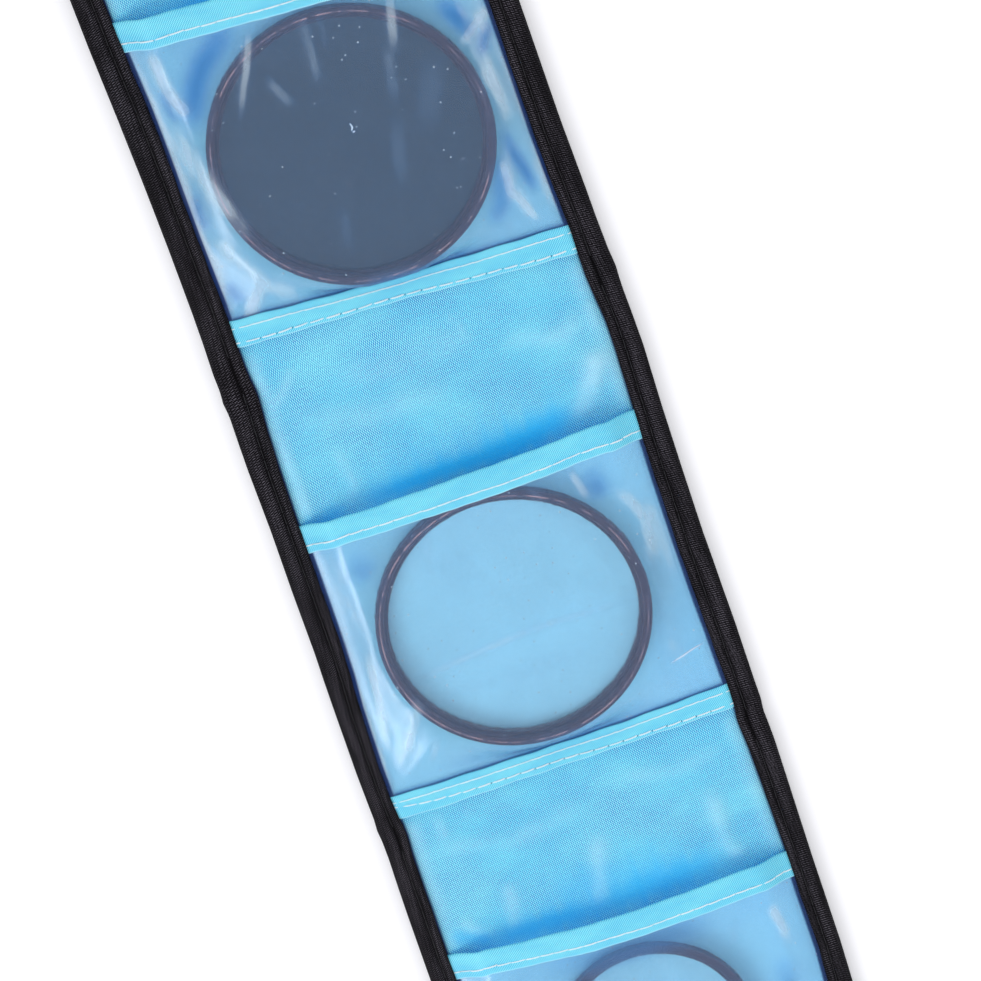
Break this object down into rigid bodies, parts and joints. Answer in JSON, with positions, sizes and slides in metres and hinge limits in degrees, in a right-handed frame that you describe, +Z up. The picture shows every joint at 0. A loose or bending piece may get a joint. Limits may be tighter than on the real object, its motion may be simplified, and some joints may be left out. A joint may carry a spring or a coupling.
{
  "type": "lens filter case",
  "caption": "Folding fabric case for camera lens filters: a strip of padded panels, each with a clear window pocket holding a round screw-in filter, closed by a wrap-round flap.",
  "frame": {"origin": "middle of the footprint of the open strip, on the surface that it lies on", "axes": "+Z up out of the pocket side, +Y along the strip the way the pockets open and towards the flap, +X across the strip"},
  "size_m": [0.118, 0.687, 0.01],
  "materials": {
    "shell": "black woven nylon",
    "binding": "black ribbed binding tape",
    "lining": "sky blue woven nylon, slight sheen",
    "tape": "bright blue woven tape with white stitching",
    "film": "frosted clear vinyl film",
    "foam": "thin foam sheet",
    "ring": "black anodised, satin",
    "clear_glass": "clear optical glass",
    "dark_glass": "grey neutral density glass",
    "hook": "black hook fastener tape",
    "loop": "black loop fastener tape"
  },
  "bodies": {
    "panel_1": {"outer_shell_1": "shell", "padding_1": "foam", "lining_1": "lining", "window_1": "film", "mouth_tape_1": "tape", "seam_tape_1": "tape", "left_binding_1": "binding", "right_binding_1": "binding"},
    "panel_2": {"outer_shell_2": "shell", "padding_2": "foam", "lining_2": "lining", "window_2": "film", "mouth_tape_2": "tape", "seam_tape_2": "tape", "left_binding_2": "binding", "right_binding_2": "binding"},
    "panel_3": {"outer_shell_3": "shell", "padding_3": "foam", "lining_3": "lining", "window_3": "film", "mouth_tape_3": "tape", "seam_tape_3": "tape", "left_binding_3": "binding", "right_binding_3": "binding"},
    "panel_4": {"outer_shell_4": "shell", "padding_4": "foam", "lining_4": "lining", "window_4": "film", "mouth_tape_4": "tape", "seam_tape_4": "tape", "left_binding_4": "binding", "right_binding_4": "binding", "strip_end_binding": "binding", "loop_patch": "loop"},
    "spine": {"outer_shell_spine": "shell", "padding_spine": "foam", "lining_spine": "lining", "left_binding_spine": "binding", "right_binding_spine": "binding"},
    "tongue": {"outer_shell_tongue": "shell", "padding_tongue": "foam", "lining_tongue": "lining", "left_binding_tongue": "binding", "right_binding_tongue": "binding", "tongue_end_binding": "binding", "hook_patch": "hook"},
    "filter_1": {"filter_ring_1": "ring", "glass_retainer_1": "ring", "filter_glass_1": "dark_glass"},
    "filter_2": {"filter_ring_2": "ring", "glass_retainer_2": "ring", "filter_glass_2": "clear_glass"},
    "filter_3": {"filter_ring_3": "ring", "glass_retainer_3": "ring", "filter_glass_3": "clear_glass"}
  },
  "joints": [
    {"name": "fold_1_2", "type": "hinge", "parent": "panel_1", "child": "panel_2", "pos_m": [0, 0.10585, 0.0102], "axis": [1, 0, 0], "range_deg": [-179.9, 0]},
    {"name": "fold_2_3", "type": "hinge", "parent": "panel_2", "child": "panel_3", "pos_m": [0, -0.04305, -0.00015], "axis": [-1, 0, 0], "range_deg": [-179.9, 0]},
    {"name": "fold_3_4", "type": "hinge", "parent": "panel_3", "child": "panel_4", "pos_m": [0, -0.19195, 0.0102], "axis": [1, 0, 0], "range_deg": [-179.9, 0]},
    {"name": "flap_fold", "type": "hinge", "parent": "panel_1", "child": "spine", "pos_m": [0, 0.26175, 0.00515], "axis": [-1, 0, 0], "range_deg": [-90, 0]},
    {"name": "tongue_fold", "type": "hinge", "parent": "spine", "child": "tongue", "pos_m": [0, 0.29845, 0.00515], "axis": [-1, 0, 0], "range_deg": [-90, 0]},
    {"name": "filter_1_slide", "type": "slide", "parent": "panel_1", "child": "filter_1", "axis": [0, 1, 0], "range_m": [0, 0.05]},
    {"name": "filter_2_slide", "type": "slide", "parent": "panel_2", "child": "filter_2", "axis": [0, 1, 0], "range_m": [0, 0.05]},
    {"name": "filter_3_slide", "type": "slide", "parent": "panel_3", "child": "filter_3", "axis": [0, 1, 0], "range_m": [0, 0.05]}
  ]
}
